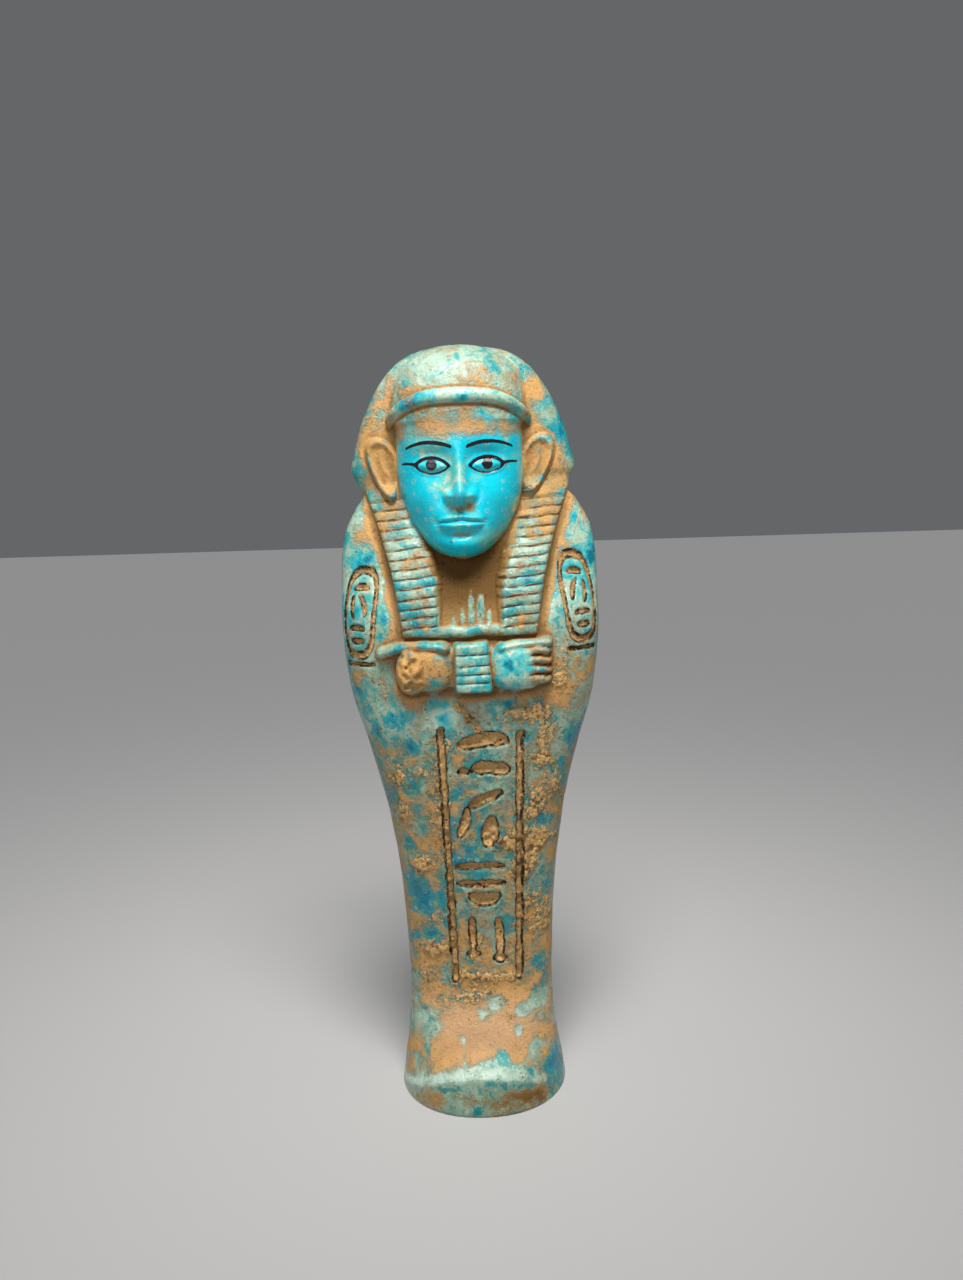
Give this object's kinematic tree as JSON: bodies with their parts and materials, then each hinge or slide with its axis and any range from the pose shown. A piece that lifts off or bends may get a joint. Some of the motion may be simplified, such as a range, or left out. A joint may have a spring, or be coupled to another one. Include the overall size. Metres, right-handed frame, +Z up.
{
  "type": "ushabti figurine",
  "caption": "Mummy-shaped funerary figurine in glazed faience, with a striped headcloth, crossed fists, a sunk column of strokes down the front and a flat foot to stand on.",
  "frame": {"origin": "middle of the flat underside of the foot", "axes": "+Z up along the figure, -Y out of its face, +X to a viewer's right as they face it"},
  "size_m": [0.0792, 0.0493, 0.23],
  "materials": {
    "glazed_faience": "worn turquoise glaze with earth in the cuts"
  },
  "bodies": {
    "root": {"ushabti": "glazed_faience"}
  },
  "joints": []
}
